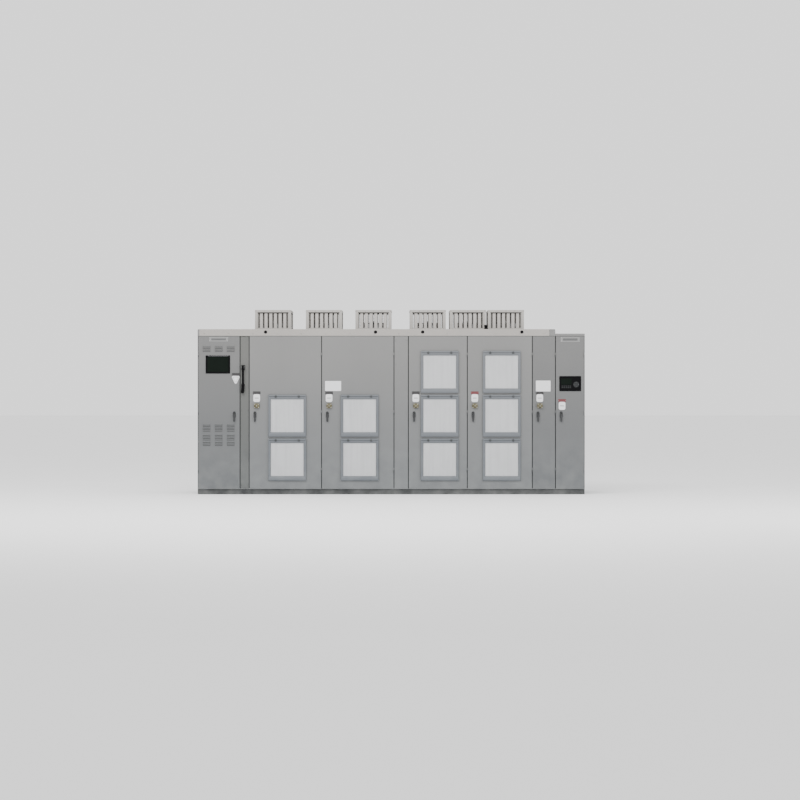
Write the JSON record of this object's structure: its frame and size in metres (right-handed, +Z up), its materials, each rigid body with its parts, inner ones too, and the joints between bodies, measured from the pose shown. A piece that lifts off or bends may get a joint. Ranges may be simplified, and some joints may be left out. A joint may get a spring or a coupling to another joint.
{
  "type": "industrial switchboard cabinet",
  "caption": "Floor-standing line-up of switchboard cabinets: hinged doors with filter panels, isolator lever, operator panels, roof fan hoods and the gear inside.",
  "frame": {"origin": "on the floor, at the middle of the base frame's footprint", "axes": "+X to the right along the line-up, doors face -Y, +Z up"},
  "size_m": [5.39, 1.29, 2.578],
  "materials": {
    "painted_sheet": "light grey powder coat",
    "dark_steel": "dark grey powder coat",
    "galvanised_sheet": "bare galvanised",
    "hood_sheet": "pale grey powder coat",
    "filter_frame": "pale grey frame with a fibre mat",
    "black_plastic": "black moulded",
    "light_plastic": "grey moulded",
    "lock_brass": "dull cast brass",
    "fan_aluminium": "satin",
    "motor_black": "black enamel",
    "core_steel": "varnished laminations",
    "cast_resin": "red-brown cast resin",
    "module_sheet": "zinc-plated sheet",
    "gear_plastic": "cream moulded",
    "busbar_copper": "bare copper"
  },
  "bodies": {
    "root": {"base_frame": "dark_steel", "control_gear": "black_plastic", "door_hinges": "dark_steel", "fan_motors": "motor_black", "fan_rings": "galvanised_sheet", "floor_plates": "galvanised_sheet", "front_covers": "painted_sheet", "front_frame": "dark_steel", "fused_contactor": "gear_plastic", "hood_casings": "hood_sheet", "hood_grilles": "galvanised_sheet", "isolator_switch": "dark_steel", "lifting_angle": "painted_sheet", "module_rack": "dark_steel", "output_busbars": "busbar_copper", "power_modules": "module_sheet", "rear_covers": "painted_sheet", "roof_plates": "painted_sheet", "switch_flange_panel": "painted_sheet", "transformer_core": "core_steel", "transformer_windings": "cast_resin", "walls": "painted_sheet"},
    "door_entry": {"door_entry": "painted_sheet", "hmi_panel": "black_plastic"},
    "handle_entry": {"handle_entry": "black_plastic"},
    "door_transformer_left": {"door_transformer_left": "painted_sheet", "key_lock_transformer_left": "lock_brass"},
    "handle_transformer_left": {"handle_transformer_left": "black_plastic"},
    "filter_transformer_left_middle": {"filter_transformer_left_middle": "filter_frame"},
    "filter_transformer_left_lower": {"filter_transformer_left_lower": "filter_frame"},
    "door_transformer_right": {"door_transformer_right": "painted_sheet", "key_lock_transformer_right": "lock_brass"},
    "handle_transformer_right": {"handle_transformer_right": "black_plastic"},
    "filter_transformer_right_middle": {"filter_transformer_right_middle": "filter_frame"},
    "filter_transformer_right_lower": {"filter_transformer_right_lower": "filter_frame"},
    "door_power_left": {"door_power_left": "painted_sheet", "key_lock_power_left": "lock_brass"},
    "handle_power_left": {"handle_power_left": "black_plastic"},
    "filter_power_left_upper": {"filter_power_left_upper": "filter_frame"},
    "filter_power_left_middle": {"filter_power_left_middle": "filter_frame"},
    "filter_power_left_lower": {"filter_power_left_lower": "filter_frame"},
    "door_power_right": {"door_power_right": "painted_sheet", "key_lock_power_right": "lock_brass"},
    "handle_power_right": {"handle_power_right": "black_plastic"},
    "filter_power_right_upper": {"filter_power_right_upper": "filter_frame"},
    "filter_power_right_middle": {"filter_power_right_middle": "filter_frame"},
    "filter_power_right_lower": {"filter_power_right_lower": "filter_frame"},
    "door_output": {"door_output": "painted_sheet", "key_lock_output": "lock_brass"},
    "handle_output": {"handle_output": "black_plastic"},
    "door_control": {"door_control": "painted_sheet", "keypad_panel": "light_plastic"},
    "handle_control": {"handle_control": "black_plastic"},
    "isolator_lever": {"isolator_lever": "black_plastic"},
    "fan_rotor_1": {"fan_rotor_1": "fan_aluminium"},
    "fan_rotor_2": {"fan_rotor_2": "fan_aluminium"},
    "fan_rotor_3": {"fan_rotor_3": "fan_aluminium"},
    "fan_rotor_4": {"fan_rotor_4": "fan_aluminium"},
    "fan_rotor_5": {"fan_rotor_5": "fan_aluminium"},
    "fan_rotor_6": {"fan_rotor_6": "fan_aluminium"}
  },
  "joints": [
    {"name": "entry_door_hinge", "type": "hinge", "parent": "root", "child": "door_entry", "pos_m": [-2.6865, -0.638, 1.141], "axis": [0, 0, -1], "range_deg": [0, 95]},
    {"name": "entry_handle_turn", "type": "hinge", "parent": "door_entry", "child": "handle_entry", "pos_m": [-2.183, -0.64, 1.126], "axis": [0, 1, 0], "range_deg": [0, 90]},
    {"name": "transformer_left_door_hinge", "type": "hinge", "parent": "root", "child": "door_transformer_left", "pos_m": [-0.9705, -0.638, 1.141], "axis": [0, 0, 1], "range_deg": [0, 95]},
    {"name": "transformer_left_handle_turn", "type": "hinge", "parent": "door_transformer_left", "child": "handle_transformer_left", "pos_m": [-1.895, -0.64, 1.126], "axis": [0, -1, 0], "range_deg": [0, 90]},
    {"name": "filter_transformer_left_middle_tilt", "type": "hinge", "parent": "door_transformer_left", "child": "filter_transformer_left_middle", "pos_m": [-1.4455, -0.6385, 0.808], "axis": [1, 0, 0], "range_deg": [0, 15]},
    {"name": "filter_transformer_left_lower_tilt", "type": "hinge", "parent": "door_transformer_left", "child": "filter_transformer_left_lower", "pos_m": [-1.4455, -0.6385, 0.199], "axis": [1, 0, 0], "range_deg": [0, 15]},
    {"name": "transformer_right_door_hinge", "type": "hinge", "parent": "root", "child": "door_transformer_right", "pos_m": [0.0365, -0.638, 1.141], "axis": [0, 0, 1], "range_deg": [0, 95]},
    {"name": "transformer_right_handle_turn", "type": "hinge", "parent": "door_transformer_right", "child": "handle_transformer_right", "pos_m": [-0.888, -0.64, 1.126], "axis": [0, -1, 0], "range_deg": [0, 90]},
    {"name": "filter_transformer_right_middle_tilt", "type": "hinge", "parent": "door_transformer_right", "child": "filter_transformer_right_middle", "pos_m": [-0.4385, -0.6385, 0.808], "axis": [1, 0, 0], "range_deg": [0, 15]},
    {"name": "filter_transformer_right_lower_tilt", "type": "hinge", "parent": "door_transformer_right", "child": "filter_transformer_right_lower", "pos_m": [-0.4385, -0.6385, 0.199], "axis": [1, 0, 0], "range_deg": [0, 15]},
    {"name": "power_left_door_hinge", "type": "hinge", "parent": "root", "child": "door_power_left", "pos_m": [1.0565, -0.638, 1.141], "axis": [0, 0, 1], "range_deg": [0, 95]},
    {"name": "power_left_handle_turn", "type": "hinge", "parent": "door_power_left", "child": "handle_power_left", "pos_m": [0.319, -0.64, 1.126], "axis": [0, 1, 0], "range_deg": [0, 90]},
    {"name": "filter_power_left_upper_tilt", "type": "hinge", "parent": "door_power_left", "child": "filter_power_left_upper", "pos_m": [0.675, -0.6385, 1.417], "axis": [1, 0, 0], "range_deg": [0, 15]},
    {"name": "filter_power_left_middle_tilt", "type": "hinge", "parent": "door_power_left", "child": "filter_power_left_middle", "pos_m": [0.675, -0.6385, 0.808], "axis": [1, 0, 0], "range_deg": [0, 15]},
    {"name": "filter_power_left_lower_tilt", "type": "hinge", "parent": "door_power_left", "child": "filter_power_left_lower", "pos_m": [0.675, -0.6385, 0.199], "axis": [1, 0, 0], "range_deg": [0, 15]},
    {"name": "power_right_door_hinge", "type": "hinge", "parent": "root", "child": "door_power_right", "pos_m": [1.9605, -0.638, 1.141], "axis": [0, 0, 1], "range_deg": [0, 95]},
    {"name": "power_right_handle_turn", "type": "hinge", "parent": "door_power_right", "child": "handle_power_right", "pos_m": [1.139, -0.64, 1.126], "axis": [0, -1, 0], "range_deg": [0, 90]},
    {"name": "filter_power_right_upper_tilt", "type": "hinge", "parent": "door_power_right", "child": "filter_power_right_upper", "pos_m": [1.537, -0.6385, 1.417], "axis": [1, 0, 0], "range_deg": [0, 15]},
    {"name": "filter_power_right_middle_tilt", "type": "hinge", "parent": "door_power_right", "child": "filter_power_right_middle", "pos_m": [1.537, -0.6385, 0.808], "axis": [1, 0, 0], "range_deg": [0, 15]},
    {"name": "filter_power_right_lower_tilt", "type": "hinge", "parent": "door_power_right", "child": "filter_power_right_lower", "pos_m": [1.537, -0.6385, 0.199], "axis": [1, 0, 0], "range_deg": [0, 15]},
    {"name": "output_door_hinge", "type": "hinge", "parent": "root", "child": "door_output", "pos_m": [2.2825, -0.638, 1.141], "axis": [0, 0, 1], "range_deg": [0, 95]},
    {"name": "output_handle_turn", "type": "hinge", "parent": "door_output", "child": "handle_output", "pos_m": [2.043, -0.64, 1.126], "axis": [0, -1, 0], "range_deg": [0, 90]},
    {"name": "control_door_hinge", "type": "hinge", "parent": "root", "child": "door_control", "pos_m": [2.6865, -0.638, 1.141], "axis": [0, 0, 1], "range_deg": [0, 95]},
    {"name": "control_handle_turn", "type": "hinge", "parent": "door_control", "child": "handle_control", "pos_m": [2.365, -0.64, 1.126], "axis": [0, -1, 0], "range_deg": [0, 90]},
    {"name": "isolator_lever_swing", "type": "hinge", "parent": "root", "child": "isolator_lever", "pos_m": [-2.061, -0.652, 1.764], "axis": [-1, 0, 0], "range_deg": [0, 150]},
    {"name": "fan_rotor_1_spin", "type": "hinge", "parent": "root", "child": "fan_rotor_1", "pos_m": [-1.659, -0.1, 2.42], "axis": [0, 0, 1], "continuous": true},
    {"name": "fan_rotor_2_spin", "type": "hinge", "parent": "root", "child": "fan_rotor_2", "pos_m": [-0.945, -0.1, 2.42], "axis": [0, 0, 1], "continuous": true},
    {"name": "fan_rotor_3_spin", "type": "hinge", "parent": "root", "child": "fan_rotor_3", "pos_m": [-0.25, -0.1, 2.42], "axis": [0, 0, 1], "continuous": true},
    {"name": "fan_rotor_4_spin", "type": "hinge", "parent": "root", "child": "fan_rotor_4", "pos_m": [0.512, -0.1, 2.42], "axis": [0, 0, 1], "continuous": true},
    {"name": "fan_rotor_5_spin", "type": "hinge", "parent": "root", "child": "fan_rotor_5", "pos_m": [1.074, -0.1, 2.42], "axis": [0, 0, 1], "continuous": true},
    {"name": "fan_rotor_6_spin", "type": "hinge", "parent": "root", "child": "fan_rotor_6", "pos_m": [1.609, -0.1, 2.42], "axis": [0, 0, 1], "continuous": true}
  ]
}
